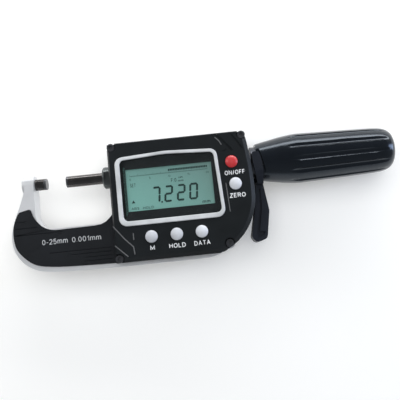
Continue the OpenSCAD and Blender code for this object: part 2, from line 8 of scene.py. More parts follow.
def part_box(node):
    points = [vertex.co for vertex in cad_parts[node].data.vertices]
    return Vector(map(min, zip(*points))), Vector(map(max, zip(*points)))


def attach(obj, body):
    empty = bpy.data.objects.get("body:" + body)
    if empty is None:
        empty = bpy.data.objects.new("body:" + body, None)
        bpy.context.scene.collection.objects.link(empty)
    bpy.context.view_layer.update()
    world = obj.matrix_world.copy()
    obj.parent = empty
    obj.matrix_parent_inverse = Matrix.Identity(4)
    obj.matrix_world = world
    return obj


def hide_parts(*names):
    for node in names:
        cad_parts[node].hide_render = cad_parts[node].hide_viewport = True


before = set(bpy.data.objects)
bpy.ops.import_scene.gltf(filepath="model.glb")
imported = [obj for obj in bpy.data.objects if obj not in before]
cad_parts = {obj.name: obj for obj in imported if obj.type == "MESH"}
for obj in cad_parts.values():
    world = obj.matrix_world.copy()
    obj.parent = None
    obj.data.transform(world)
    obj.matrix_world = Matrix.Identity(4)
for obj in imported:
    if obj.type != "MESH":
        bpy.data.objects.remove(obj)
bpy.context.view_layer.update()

MM = 0.001
HOUSING = "housing"

# ---------------------------------------------------------------- places, in mm, from the CAD nodes


def top_of(node):
    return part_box(node)[1][2] / MM


def low_of(node):
    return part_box(node)[0][2] / MM


def middle_of(node):
    """A node's middle, as seen from the front."""
    low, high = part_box(node)
    return (low[0] + high[0]) / 2 / MM, (low[1] + high[1]) / 2 / MM


FACE_Z = top_of("front_cover")
LCD_Z = top_of("lcd_panel")
PLATE_Z = top_of("front_grip_plate")
FLOOR_Z = low_of("rear_cover")

# ---------------------------------------------------------------- material tools


class Graph:
    """A material's node tree, with short calls for the nodes that the finishes share."""

    def __init__(self, name):
        self.mat = bpy.data.materials.new(name)
        self.mat.use_nodes = True
        self.tree = self.mat.node_tree
        self.shader = self.tree.nodes["Principled BSDF"]
        self.coord = self.tree.nodes.new("ShaderNodeTexCoord").outputs["Object"]

    def set(self, **values):
        for key, value in values.items():
            self.shader.inputs[key.replace("_", " ")].default_value = value

    def link(self, a, b):
        self.tree.links.new(a, b)

    def new(self, kind, **inputs):
        node = self.tree.nodes.new(kind)
        for key, value in inputs.items():
            node.inputs[key].default_value = value
        return node

    def stretched(self, scale):
        node = self.new("ShaderNodeMapping", Scale=scale)
        self.link(self.coord, node.inputs["Vector"])
        return node.outputs["Vector"]

    def noise(self, scale, detail=3.0, vector=None):
        node = self.new("ShaderNodeTexNoise", Scale=scale, Detail=detail)
        self.link(vector or self.coord, node.inputs["Vector"])
        return node.outputs["Fac"]

    def ramp(self, fac, stops):
        node = self.tree.nodes.new("ShaderNodeValToRGB")
        bar = node.color_ramp
        while len(bar.elements) < len(stops):
            bar.elements.new(0.5)
        for element, (place, colour) in zip(bar.elements, stops):
            element.position = place
            element.color = (*colour, 1)
        self.link(fac, node.inputs["Fac"])
        return node.outputs["Color"]

    def spread(self, fac, low, high):
        """Turns a factor from 0 to 1 into a number from low to high."""
        node = self.new("ShaderNodeMapRange", **{"To Min": low, "To Max": high})
        self.link(fac, node.inputs["Value"])
        return node.outputs["Result"]

    def bump(self, height, strength, depth_mm):
        node = self.new("ShaderNodeBump", Strength=strength, Distance=depth_mm * MM)
        self.link(height, node.inputs["Height"])
        self.link(node.outputs["Normal"], self.shader.inputs["Normal"])

    def colour(self, socket):
        self.link(socket, self.shader.inputs["Base Color"])

    def clouds(self, noise, dark, light):
        """A colour that drifts between two shades."""
        colour = self.ramp(noise, [(0.3, dark), (0.7, light)])
        self.colour(colour)
        return colour

    def roughness(self, noise, low, high):
        self.link(self.spread(noise, low, high), self.shader.inputs["Roughness"])


def shades(colour, low=0.82, high=1.15):
    """A darker and a lighter shade of a colour."""
    return tuple(part * low for part in colour), tuple(min(1, part * high) for part in colour)


def moulded(name, colour, rough, grain_mm=0.35, grain_depth=0.03, shine=0.5, coat=0.0, tint=(1, 1, 1)):
    """Moulded or painted surface with a fine grain."""
    graph = Graph(name)
    graph.clouds(graph.noise(90, 4), *shades(colour))
    graph.roughness(graph.noise(260, 2), rough - 0.05, rough + 0.06)
    graph.bump(graph.noise(1 / (grain_mm * MM), 2), 0.35, grain_depth)
    graph.set(Specular_IOR_Level=shine, Coat_Weight=coat, Coat_Roughness=0.15, Specular_Tint=(*tint, 1))
    return graph.mat


# how the noise is stretched so that it makes fine layers square to an axis
ACROSS_X = (1, 0.02, 0.02)
ACROSS_Z = (0.02, 0.02, 1)


def turned_steel(name, colour, rough, layers=ACROSS_X):
    """Ground or turned metal: fine rings round the X axis, or layers across Z, and slight clouding."""
    graph = Graph(name)
    rings = graph.noise(9000, 2, graph.stretched(layers))
    graph.clouds(graph.noise(220, 3), *shades(colour, 0.8, 1.12))
    graph.roughness(rings, rough - 0.06, rough + 0.08)
    graph.bump(rings, 0.25, 0.01)
    graph.set(Metallic=1.0)
    return graph.mat


def cast_satin(name, colour, rough, metallic):
    """Satin chromed casting: soft unevenness, tiny pits."""
    graph = Graph(name)
    graph.clouds(graph.noise(60, 4), *shades(colour, 0.92, 1.05))
    graph.roughness(graph.noise(400, 3), rough - 0.06, rough + 0.08)
    graph.bump(graph.noise(2500, 3), 0.3, 0.02)
    graph.set(Metallic=metallic)
    return graph.mat


def clear_glass(name):
    """Nearly clear window, with a trace of dark tint."""
    graph = Graph(name)
    graph.clouds(graph.noise(30), (0.05, 0.06, 0.06), (0.08, 0.09, 0.09))
    graph.roughness(graph.noise(40), 0.02, 0.06)
    graph.set(Alpha=0.07)
    return graph.mat


# how far the display's painted light, a tint brightest at its lower left, runs, in metres
LCD_LEFT, LCD_RIGHT = 0.047, 0.095
LCD_BOTTOM, LCD_TOP = -0.022, 0.002


def lcd_with_painted_light(name):
    """Grey-green reflective display with painted light: its colour is painted brightest at its lower left,
    and it glows a little though it is no lamp; faint unevenness in its gloss.
    """
    graph = Graph(name)
    place = graph.new("ShaderNodeSeparateXYZ")
    graph.link(graph.coord, place.inputs[0])
    shares = []
    for axis, low, high, share in (("X", LCD_LEFT, LCD_RIGHT, 0.6), ("Y", LCD_BOTTOM, LCD_TOP, 0.4)):
        node = graph.new("ShaderNodeMapRange", **{"From Min": low, "From Max": high, "To Max": share})
        graph.link(place.outputs[axis], node.inputs["Value"])
        shares.append(node.outputs["Result"])
    total = graph.new("ShaderNodeMath")
    for socket, share in zip(total.inputs, shares):
        graph.link(share, socket)
    # painted light: brightest at the lower left, darker towards the right and the top
    base = graph.ramp(total.outputs[0], [(0.0, (0.160, 0.375, 0.330)), (0.4, (0.145, 0.320, 0.285)),
                                         (1.0, (0.125, 0.235, 0.215))])
    graph.colour(base)
    # the same colour is given out as a painted glow, though the display is no lamp
    graph.link(base, graph.shader.inputs["Emission Color"])
    graph.set(Emission_Strength=0.28, Coat_Weight=0.1)
    graph.roughness(graph.noise(900, 2), 0.32, 0.42)
    return graph.mat


FINISH = {
    "cover": moulded("cover_plastic", (0.0065, 0.0085, 0.010), 0.46, 0.5, 0.02, shine=0.3),
    "plate": moulded("plate_plastic", (0.0085, 0.0100, 0.0125), 0.52, 0.4, 0.02, shine=0.28),
    "rear": moulded("rear_plastic", (0.009, 0.0105, 0.0125), 0.5, 0.5, 0.03, shine=0.35),
    "handle": moulded("handle_gloss", (0.003, 0.004, 0.0065), 0.2, 1.5, 0.006, shine=0.5, coat=0.15,
                       tint=(0.72, 0.86, 1)),
    "lever": moulded("lever_paint", (0.009, 0.0115, 0.018), 0.42, 0.4, 0.02, shine=0.35),
    "neck": turned_steel("neck_black", (0.10, 0.105, 0.12), 0.3),
    "bezel": moulded("bezel_satin", (0.60, 0.62, 0.635), 0.3, 0.6, 0.008),
    "mask": moulded("mask_plastic", (0.009, 0.012, 0.013), 0.5, 0.5, 0.02, shine=0.25),
    # painted highlight: the pale grey of the lines in the grooves, standing for light on their edges
    "painted_highlight": moulded("painted_highlight_grey", (0.13, 0.135, 0.14), 0.35, 0.4, 0.01),
    "white": moulded("button_white", (0.60, 0.62, 0.66), 0.34, 0.7, 0.01, coat=0.2),
    "red": moulded("button_red", (0.62, 0.035, 0.04), 0.32, 0.7, 0.01, coat=0.25),
    "ink_white": moulded("ink_white", (0.80, 0.82, 0.84), 0.5, 0.3, 0.002),
    "ink_grey": moulded("ink_grey", (0.52, 0.54, 0.56), 0.5, 0.3, 0.002),
    "ink_lcd": moulded("ink_lcd", (0.006, 0.030, 0.027), 0.4, 0.3, 0.001),
    "ink_lcd_pale": moulded("ink_lcd_pale", (0.04, 0.105, 0.095), 0.4, 0.3, 0.001),
    "screw": moulded("screw_black", (0.030, 0.032, 0.037), 0.3, 0.3, 0.008, coat=0.3),
    "rubber": moulded("black_rubber", (0.01, 0.01, 0.01), 0.7, 0.2, 0.02),
    "frame": cast_satin("frame_satin_chrome", (0.80, 0.81, 0.83), 0.36, 0.55),
    "steel": turned_steel("ground_steel", (0.125, 0.118, 0.115), 0.18),
    "tip": turned_steel("hard_tip", (0.17, 0.17, 0.18), 0.3),
    "nut": turned_steel("nut_steel", (0.13, 0.14, 0.14), 0.32),
    "brass": turned_steel("brass_parts", (0.72, 0.52, 0.24), 0.3, ACROSS_Z),
    "glass": clear_glass("window_clear"),
    "lcd": lcd_with_painted_light("lcd_with_painted_light"),
    "board": moulded("board_green", (0.02, 0.11, 0.045), 0.4, 0.4, 0.02),
    "pale": moulded("pale_plastic", (0.72, 0.72, 0.70), 0.5, 0.5, 0.02),
}

# ---------------------------------------------------------------- mesh tools


def new_object(name, mesh, material, body=HOUSING, replaces=()):
    """Makes a piece, puts it on what it rides on and hides the CAD nodes that it stands for."""
    obj = bpy.data.objects.new(name, mesh)
    bpy.context.scene.collection.objects.link(obj)
    mesh.materials.clear()
    mesh.materials.append(material)
    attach(obj, body)
    if replaces:
        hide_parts(*replaces)
    return obj


def mesh_from(bm, name):
    """Turns the faces outward and makes the mesh."""
    bmesh.ops.recalc_face_normals(bm, faces=bm.faces)
    mesh = bpy.data.meshes.new(name)
    bm.to_mesh(mesh)
    bm.free()
    return mesh


def apply_modifiers(obj):
    deps = bpy.context.evaluated_depsgraph_get()
    done = bpy.data.meshes.new_from_object(obj.evaluated_get(deps))
    obj.modifiers.clear()
    old = obj.data
    obj.data = done
    bpy.data.meshes.remove(old)


def smooth(mesh, angle):
    """Smooth shading, with edges sharper than the angle, in degrees, kept sharp."""
    bm = bmesh.new()
    bm.from_mesh(mesh)
    limit = math.radians(angle)
    for face in bm.faces:
        face.smooth = True
    for edge in bm.edges:
        edge.smooth = len(edge.link_faces) == 2 and edge.calc_face_angle(0) < limit
    bm.to_mesh(mesh)
    bm.free()


WELD = 2e-6                         # metres between points that are taken as one
FLAT_ANGLE = 0.6                    # degrees between faces that are merged into one
BEVEL_ANGLE = 32                    # degrees; sharper edges are rounded off
PIECE_ANGLE = 30                    # degrees; edges that are still sharper than this stay sharp


def softened(node, material, width_mm, body=HOUSING, segments=3, merge=True):
    """A finished piece from a CAD node's shape, with its edges rounded off."""
    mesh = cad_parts[node].data.copy()
    mesh.name = node + "_soft"
    bm = bmesh.new()
    bm.from_mesh(mesh)
    bmesh.ops.remove_doubles(bm, verts=bm.verts, dist=WELD)
    bmesh.ops.dissolve_degenerate(bm, edges=bm.edges, dist=WELD)
    if merge:
        bmesh.ops.dissolve_limit(bm, angle_limit=math.radians(FLAT_ANGLE), verts=bm.verts, edges=bm.edges,
                                 use_dissolve_boundaries=False)
    for face in bm.faces:
        face.smooth = True
    bm.to_mesh(mesh)
    bm.free()
    if mesh.has_custom_normals:
        mesh.attributes.remove(mesh.attributes["custom_normal"])
    obj = new_object(node + "_piece", mesh, material, body, (node,))
    bevel = obj.modifiers.new("bevel", "BEVEL")
    bevel.width = width_mm * MM
    bevel.segments = segments
    bevel.limit_method = "ANGLE"
    bevel.angle_limit = math.radians(BEVEL_ANGLE)
    bevel.use_clamp_overlap = True
    bevel.harden_normals = False
    bevel.miter_outer = "MITER_ARC"
    apply_modifiers(obj)
    smooth(obj.data, PIECE_ANGLE)
    weighted = obj.modifiers.new("weighted", "WEIGHTED_NORMAL")
    weighted.keep_sharp = True
    apply_modifiers(obj)


def give(node, material):
    """Gives a CAD node that stays as it is a finished material."""
    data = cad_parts[node].data
    data.materials.clear()
    data.materials.append(material)


def revolve(name, profile, steps, cut):
    """Ring mesh round the X axis. profile is (x, radius) in mm.

    cut(x, angle, radius) says how much is added to the radius there."""
    bm = bmesh.new()
    rings = []
    for x, r in profile:
        if r == 0:
            rings.append([bm.verts.new((x * MM, 0, 0))])
            continue
        ring = []
        for i in range(steps):
            angle = 2 * math.pi * i / steps
            reach = r + cut(x, angle, r)
            ring.append(bm.verts.new((x * MM, reach * math.cos(angle) * MM, reach * math.sin(angle) * MM)))
        rings.append(ring)
    for a, b in zip(rings, rings[1:]):
        for i in range(steps):
            j = (i + 1) % steps
            if len(a) == 1:
                bm.faces.new((a[0], b[j], b[i]))
            elif len(b) == 1:
                bm.faces.new((a[i], a[j], b[0]))
            else:
                bm.faces.new((a[i], a[j], b[j], b[i]))
    return mesh_from(bm, name)


def prism(bm, outline, z0, z1):
    """Adds a prism over a closed outline of (x, y), between two heights, in mm."""
    low = [bm.verts.new((x * MM, y * MM, z0 * MM)) for x, y in outline]
    high = [bm.verts.new((x * MM, y * MM, z1 * MM)) for x, y in outline]
    bm.faces.new(high)
    bm.faces.new(low[::-1])
    for i in range(len(outline)):
        j = (i + 1) % len(outline)
        bm.faces.new((low[i], low[j], high[j], high[i]))


def prisms(name, outlines, z0, z1, material):
    """One piece made of a prism over each outline."""
    bm = bmesh.new()
    for outline in outlines:
        prism(bm, outline, z0, z1)
    new_object(name, mesh_from(bm, name), material)


def bar(start, end, width):
    """Outline of a straight bar."""
    start, end = Vector(start), Vector(end)
    along = (end - start).normalized()
    side = Vector((-along.y, along.x)) * (width / 2)
    return [start + side, start - side, end - side, end + side]


def arc(cx, cy, rx, ry, start, end, parts):
    """Points of an elliptic arc, with angles in degrees."""
    turns = [math.radians(start + (end - start) * i / parts) for i in range(parts + 1)]
    return [(cx + rx * math.cos(t), cy + ry * math.sin(t)) for t in turns]


# Plain sans letters: width, then strokes in a box one unit high.
# A stroke that ends where it starts is a loop.
LETTERS = {
    "M": (0.84, [[(0, 0), (0, 1), (0.42, 0.2), (0.84, 1), (0.84, 0)]]),
    "H": (0.72, [[(0, 0), (0, 1)], [(0.72, 0), (0.72, 1)], [(0, 0.52), (0.72, 0.52)]]),
    "O": (0.84, [arc(0.42, 0.5, 0.42, 0.5, 0, 360, 24)]),
    "L": (0.56, [[(0, 1), (0, 0), (0.56, 0)]]),
    "D": (0.74, [[(0, 0), (0, 1)] + arc(0.3, 0.5, 0.44, 0.5, 90, -90, 12) + [(0, 0)]]),
    "A": (0.8, [[(0, 0), (0.4, 1), (0.8, 0)], [(0.15, 0.34), (0.65, 0.34)]]),
    "T": (0.7, [[(0, 1), (0.7, 1)], [(0.35, 1), (0.35, 0)]]),
    "N": (0.72, [[(0, 0), (0, 1), (0.72, 0), (0.72, 1)]]),
    "F": (0.56, [[(0, 0), (0, 1), (0.56, 1)], [(0, 0.52), (0.5, 0.52)]]),
    "/": (0.34, [[(0, -0.04), (0.34, 1.04)]]),
    "Z": (0.66, [[(0.02, 1), (0.66, 1), (0, 0), (0.66, 0)]]),
    "E": (0.6, [[(0.6, 1), (0, 1), (0, 0), (0.6, 0)], [(0, 0.52), (0.54, 0.52)]]),
    "R": (0.68, [[(0, 0), (0, 1)] + arc(0.36, 0.745, 0.28, 0.255, 90, -90, 8) + [(0.1, 0.49)],
                 [(0.38, 0.49), (0.68, 0)]]),
    "S": (0.6, [arc(0.3, 0.745, 0.29, 0.255, 20, 270, 9) + arc(0.3, 0.245, 0.3, 0.245, 90, -160, 9)[1:]]),
    "B": (0.64, [[(0, 0), (0, 1)] + arc(0.34, 0.75, 0.25, 0.25, 90, -90, 8) + [(0.1, 0.5)],
                 [(0.3, 0.5)] + arc(0.36, 0.25, 0.28, 0.25, 90, -90, 8) + [(0, 0)]]),
    "0": (0.54, [arc(0.27, 0.5, 0.27, 0.5, 0, 360, 20)]),
    "1": (0.26, [[(0, 0.76), (0.14, 0.82), (0.26, 1), (0.26, 0)]]),
    "2": (0.54, [arc(0.27, 0.72, 0.26, 0.28, 165, -35, 9) + [(0, 0), (0.54, 0)]]),
    "5": (0.54, [[(0.5, 1), (0.08, 1), (0.03, 0.5)] + arc(0.25, 0.32, 0.29, 0.32, 120, -150, 10)]),
    "-": (0.3, [[(0, 0.38), (0.3, 0.38)]]),
    ".": (0.01, [[(0, 0), (0, 0.05)]]),
    ":": (0.01, [[(0, 0), (0, 0.1)], [(0, 0.6), (0, 0.7)]]),
    "m": (0.84, [[(0, 0), (0, 0.74)], arc(0.21, 0.52, 0.21, 0.22, 180, 0, 6) + [(0.42, 0)],
                 arc(0.63, 0.52, 0.21, 0.22, 180, 0, 6) + [(0.84, 0)]]),
    "n": (0.44, [[(0, 0), (0, 0.74)], arc(0.22, 0.52, 0.22, 0.22, 180, 0, 6) + [(0.44, 0)]]),
    "i": (0.01, [[(0, 0), (0, 0.74)], [(0, 0.95), (0, 1)]]),
}


LOOP_GAP = 1e-6                     # a stroke whose ends are closer than this is a loop
MITRE_LIMIT = 0.42                  # keeps the points of sharp corners short
LETTER_GAP = 0.2                    # between letters, as a share of their height
INK_THICK = 0.03                    # mm
INK_CLEAR = 0.002                   # mm between a face and the ink printed on it
STROKE_LIFT = 0.004                 # mm between crossing strokes, as faces in one plane render black


def stroke_sides(points, width):
    """Left and right edges of a mitred stroke, and whether it is a loop."""
    loop = len(points) > 3 and math.dist(points[0], points[-1]) < LOOP_GAP
    pts = [Vector(p) for p in (points[:-1] if loop else points)]
    count = len(pts)
    left, right = [], []
    for i, p in enumerate(pts):
        before = (p - pts[i - 1]).normalized() if i or loop else None
        after = (pts[(i + 1) % count] - p).normalized() if i < count - 1 or loop else None
        a, b = before or after, after or before
        normal = Vector((-(a.y + b.y), a.x + b.x)).normalized()
        reach = width / 2 / max(MITRE_LIMIT, normal.dot(Vector((-a.y, a.x))))
        left.append(p + normal * reach)
        right.append(p - normal * reach)
    return left, right, loop


def words(name, text, centre, height, z, material, width=None, weight=0.13):
    """Lettering in strokes: centre, cap height, where the ink starts and width over all, in mm.

    weight is a stroke's width as a share of the cap height, before the text is fitted to its width."""
    bm = bmesh.new()
    pen = 0
    for char in text:
        advance, strokes = LETTERS[char]
        for order, points in enumerate(strokes):
            left, right, loop = stroke_sides(points, weight)
            a, b = ([bm.verts.new((pen + v.x, v.y, order * STROKE_LIFT * MM)) for v in side]
                    for side in (left, right))
            for i in range(len(a) if loop else len(a) - 1):
                j = (i + 1) % len(a)
                bm.faces.new((a[i], b[i], b[j], a[j]))
        pen += advance + weight + LETTER_GAP
    xs = [v.co.x for v in bm.verts]
    mid = (max(xs) + min(xs)) / 2
    wide = width / (max(xs) - min(xs)) if width else height
    for v in bm.verts:
        x = centre[0] + (v.co.x - mid) * wide
        y = centre[1] + (v.co.y - 0.5) * height
        v.co = Vector((x * MM, y * MM, z * MM + v.co.z))
    grown = bmesh.ops.extrude_face_region(bm, geom=bm.faces[:])
    moved = [e for e in grown["geom"] if isinstance(e, bmesh.types.BMVert)]
    bmesh.ops.translate(bm, verts=moved, vec=(0, 0, INK_THICK * MM))
    new_object(name, mesh_from(bm, name), material)


# ---------------------------------------------------------------- frame, covers and small parts

softened("frame", FINISH["frame"], 0.7)
softened("front_grip_plate", FINISH["plate"], 0.2, merge=False)
softened("rear_grip_plate", FINISH["plate"], 0.25)
softened("front_cover", FINISH["cover"], 0.22)
softened("rear_cover", FINISH["rear"], 0.35)
softened("display_bezel", FINISH["bezel"], 0.55, segments=5)
softened("display_mask", FINISH["mask"], 0.15)
softened("guide_nut", FINISH["nut"], 0.25)
softened("front_screws", FINISH["screw"], 0.15)
softened("rear_screws", FINISH["screw"], 0.15)
softened("cell_lid", FINISH["plate"], 0.2)
softened("anvil", FINISH["steel"], 0.1)
softened("anvil_tip", FINISH["tip"], 0.12)
softened("spindle_tip", FINISH["tip"], 0.12, body="spindle_set")
softened("spindle", FINISH["steel"], 0.1, body="spindle_set")
softened("lever", FINISH["lever"], 0.8, body="lever_set", segments=4)
softened("neck", FINISH["neck"], 0.3)

for node, key in {
    "wiper_ring": "rubber", "front_guide": "brass", "rear_guide": "brass", "tail_nut": "nut",
    "rack": "steel", "scale_strip": "brass", "gear_arbor": "steel", "large_gear": "brass",
    "small_pinion": "steel", "gear_bridge": "brass", "bridge_screws": "nut", "sector_gear": "steel",
    "sector_rivet": "nut", "pivot_pins": "steel", "coin_cell": "nut", "cell_contact": "brass",
    "display_window": "glass", "lcd_panel": "lcd", "lcd_backing": "pale", "circuit_board": "board",
    "read_head": "mask", "key_switches": "pale",
}.items():
    give(node, FINISH[key])

# ---------------------------------------------------------------- buttons

for key in ("mode", "hold", "data", "power", "zero"):
    tint = "red" if key == "power" else "white"
    softened("button_" + key, FINISH[tint], 0.18, body=key + "_button")

# ---------------------------------------------------------------- handle

# (x, radius) in mm: the CAD's outline, followed to within 0.05 mm, and its bore
HANDLE = [(121.2, 10.2), (121.35, 10.35), (121.6, 10.5), (122.1, 10.7), (125, 11.26), (129, 12),
          (133, 12.75), (136, 13.3), (139.5, 13.75), (143, 14.15), (145.5, 14.3), (150, 14.15),
          (157, 13.95), (164, 13.75), (171, 13.55), (178, 13.3), (185, 13.05), (189, 12.85),
          (192.5, 12.52), (194, 12.26), (195.1, 11.96), (196.3, 11.5), (197.2, 11.05), (198.7, 9.75),
          (199.6, 8.05), (200, 5.8), (200.1, 3.5), (200.1, 0)]
BORE = [(188, 0), (188, 6), (150, 6), (150, 8), (125.2, 8), (125.2, 9), (121.2, 9), (121.2, 10.2)]
HANDLE_STEPS = 528                  # points in a ring
HANDLE_ANGLE = 40                   # degrees; sharper edges stay sharp
LONGEST = 1.6                       # mm between rings

# the flutes are round-bottomed, cut by a rod that leans in towards the end of the handle
FLUTES = 12
FLUTE_R = 2.0
FLUTE_START = 138
FLUTE_TURN = 9                      # degrees from straight up to the first flute
ROD_AXIS = 15.75                    # from the handle's axis, where the flutes start
ROD_LEAN = 0.029                    # mm inward for each mm along
FLUTE_LEAST_R = 9.1                 # the bore and the tip are smaller than this, and have no flutes


def flute(x, angle, r):
    """How far the flutes cut into radius r, at a place along and an angle round the handle."""
    if x < FLUTE_START or r < FLUTE_LEAST_R:
        return 0
    middle = ROD_AXIS - (x - FLUTE_START) * ROD_LEAN
    pitch = 2 * math.pi / FLUTES
    off = (angle - math.pi / 2 - math.radians(FLUTE_TURN) + pitch / 2) % pitch - pitch / 2
    side = middle * math.sin(off)
    if abs(side) >= FLUTE_R:
        return 0
    return min(0, middle * math.cos(off) - math.sqrt(FLUTE_R ** 2 - side ** 2) - r)


def refine(profile):
    """Adds points to a profile where they are far apart."""
    out = []
    for (x0, r0), (x1, r1) in zip(profile, profile[1:]):
        parts = max(1, math.ceil(math.hypot(x1 - x0, r1 - r0) / LONGEST)) if r1 > 0 else 1
        out += [(x0 + (x1 - x0) * i / parts, r0 + (r1 - r0) * i / parts) for i in range(parts)]
    return out + [profile[-1]]


grip = revolve("handle_grip", BORE + refine(HANDLE)[1:], HANDLE_STEPS, flute)
handle = new_object("handle_grip", grip, FINISH["handle"], replaces=("handle",))
smooth(grip, HANDLE_ANGLE)


CUT_ANGLE = 24                      # degrees; sharper edges of a cut piece stay sharp


def cut_prisms(obj, outline, spans):
    """Cuts prisms over an outline of (x, y) in mm, each between two heights, out of a piece."""
    for z0, z1 in spans:
        bm = bmesh.new()
        prism(bm, outline, z0, z1)
        mesh = mesh_from(bm, "cutter")
        cutter = bpy.data.objects.new("cutter", mesh)
        bpy.context.scene.collection.objects.link(cutter)
        cut = obj.modifiers.new("cut", "BOOLEAN")
        cut.operation = "DIFFERENCE"
        cut.solver = "EXACT"
        cut.object = cutter
        apply_modifiers(obj)
        bpy.data.objects.remove(cutter)
        bpy.data.meshes.remove(mesh)
    smooth(obj.data, CUT_ANGLE)


# room for the lever's fork on both sides of the handle's foot
RELIEF = [(119, -9), (125.7, -9), (125.4, -6), (124.2, 0), (123.6, 3), (123.2, 5.8), (122.4, 6.6),
          (119, 6.6)]
FORK_IN, FORK_OUT = 8.4, 14.4       # from the handle's axis to the fork's inner face, and past its outer one
cut_prisms(handle, RELIEF, ((FORK_IN, FORK_OUT), (-FORK_OUT, -FORK_IN)))

# ---------------------------------------------------------------- printed labels

LABEL_Z = FACE_Z + INK_CLEAR
LABEL_HEIGHT = 2.1
LABEL_WEIGHT = 0.2

# text, how far right of and below the button's middle, and width
for key, text, right, below, width in (
    ("mode", "M", 0, 6.2, 2.5), ("hold", "HOLD", -0.2, 6.2, 9.1), ("data", "DATA", -0.4, 6.2, 8.8),
    ("power", "ON/OFF", 1.1, 6.2, 11.0), ("zero", "ZERO", 0.4, 6.5, 9.0),
):
    x, y = middle_of("button_" + key)
    words("label_" + key, text, (x + right, y - below), LABEL_HEIGHT, LABEL_Z, FINISH["ink_white"], width,
          LABEL_WEIGHT)

PLATE_INK_Z = PLATE_Z + INK_CLEAR
PLATE_TEXT_HEIGHT = 2.6
words("label_range", "0-25mm", (3.8, -33.9), PLATE_TEXT_HEIGHT, PLATE_INK_Z, FINISH["ink_grey"], 14.3)
words("label_step", "0.001mm", (21.6, -34.0), PLATE_TEXT_HEIGHT, PLATE_INK_Z, FINISH["ink_grey"], 16.3)

# some of the decorative grooves hold a pale line, a painted highlight that stands for the light caught on
# their edges: its points and width
PAINTED_HIGHLIGHTS = {
    "painted_highlight_long": ([(38, -29.6), (43.75, -37), (48.3, -41.8), (48.75, -46)], 0.5),
    "painted_highlight_short": ([(38.2, -40.2), (45, -46.8)], 0.5),
    "painted_highlight_dash": ([(48.75, -34.4), (48.75, -38)], 0.5),
    "painted_highlight_top": ([(98.7, 14.3), (100.6, 12.4), (102, 9.8)], 0.5),
    "painted_highlight_side": ([(102.2, -12), (102.9, -28)], 0.4),
}
PAINTED_HIGHLIGHT_LOW = FACE_Z - 0.3
PAINTED_HIGHLIGHT_TOP = FACE_Z + 0.02
for name, (points, width) in PAINTED_HIGHLIGHTS.items():
    left, right, _ = stroke_sides(points, width)
    prisms(name, [left + right[::-1]], PAINTED_HIGHLIGHT_LOW, PAINTED_HIGHLIGHT_TOP, FINISH["painted_highlight"])

# ---------------------------------------------------------------- display contents

INK_Z = LCD_Z + INK_CLEAR
INK_TOP = INK_Z + INK_THICK

SEGMENTS = {"7": "abc", "2": "abged", "0": "abcdef"}
SEGMENT_WIDTH = 1.15
SEGMENT_GAP = 0.03
SEGMENT_TIP = 0.36                  # length of a pointed end, as a share of the width
SLANT = 0.1                         # how far the digits lean over for each mm up
DIGITS = (("7", 60.8, 64.5), ("2", 67.8, 71.5), ("2", 74.8, 78.5), ("0", 81.7, 85.5))
DIGIT_LOW, DIGIT_HIGH = -18.3, -10.1
POINT = [(65.5, -18.9), (66.4, -18.9), (66.4, -18.0), (65.5, -18.0)]


def digit(char, x0, x1, y0, y1):
    """Seven-segment digit as bars with pointed ends, in the box given."""
    mid = (y0 + y1) / 2
    ends = {
        "a": ((x0, y1), (x1, y1)), "g": ((x0, mid), (x1, mid)), "d": ((x0, y0), (x1, y0)),
        "f": ((x0, mid), (x0, y1)), "b": ((x1, mid), (x1, y1)),
        "e": ((x0, y0), (x0, mid)), "c": ((x1, y0), (x1, mid)),
    }
    shapes = []
    for key in SEGMENTS[char]:
        start, end = (Vector(v) for v in ends[key])
        along = (end - start).normalized()
        side = Vector((-along.y, along.x)) * (SEGMENT_WIDTH / 2)
        tip = along * SEGMENT_WIDTH * SEGMENT_TIP
        start = start + along * SEGMENT_GAP
        end = end - along * SEGMENT_GAP
        ring = [start, start + tip - side, end - tip - side, end, end - tip + side, start + tip + side]
        shapes.append([(v.x + (v.y - y0) * SLANT, v.y) for v in ring])
    return shapes


digits = []
for char, left, right in DIGITS:
    digits += digit(char, left, right, DIGIT_LOW, DIGIT_HIGH)
prisms("lcd_digits", digits + [POINT], INK_Z, INK_TOP, FINISH["ink_lcd"])

# the row of cells along the top, and the arrow at the lower left
CELLS = 24
CELL_START, CELL_PITCH, CELL_WIDTH, CELL_HEIGHT, CELL_Y = 70.9, 0.92, 0.74, 1.15, -0.85
ARROW = [(49.0, -17.7), (51.2, -17.7), (50.1, -16.0)]
cells = []
for i in range(CELLS):
    x = CELL_START + CELL_PITCH * i
    cells.append(bar((x, CELL_Y), (x + CELL_WIDTH, CELL_Y), CELL_HEIGHT))
prisms("lcd_bar", cells + [ARROW], INK_Z, INK_TOP, FINISH["ink_lcd"])

# the scale under the cells: a line with ticks, every fifth of them long
SCALE_LEFT, SCALE_LENGTH, SCALE_Y = 49.3, 43.4, -2.5
SCALE_END = 0.2                     # how far the line runs past the outer ticks
SCALE_LINE, TICK_LINE = 0.22, 0.16
TICKS = 50
LONG_TICK, SHORT_TICK = 1.0, 0.55
ticks = [bar((SCALE_LEFT - SCALE_END, SCALE_Y), (SCALE_LEFT + SCALE_LENGTH + SCALE_END, SCALE_Y), SCALE_LINE)]
for i in range(TICKS + 1):
    x = SCALE_LEFT + SCALE_LENGTH * i / TICKS
    top = SCALE_Y + (LONG_TICK if i % 5 == 0 else SHORT_TICK)
    ticks.append(bar((x, SCALE_Y), (x, top), TICK_LINE))
prisms("lcd_scale", ticks, INK_Z, INK_TOP, FINISH["ink_lcd_pale"])
for i, x in enumerate((49.3, 60.4, 71.3, 82.1, 92.6)):
    words(f"lcd_number_{i}", str(i * 5), (x, -4.3), 1.0, INK_Z, FINISH["ink_lcd_pale"], weight=0.17)

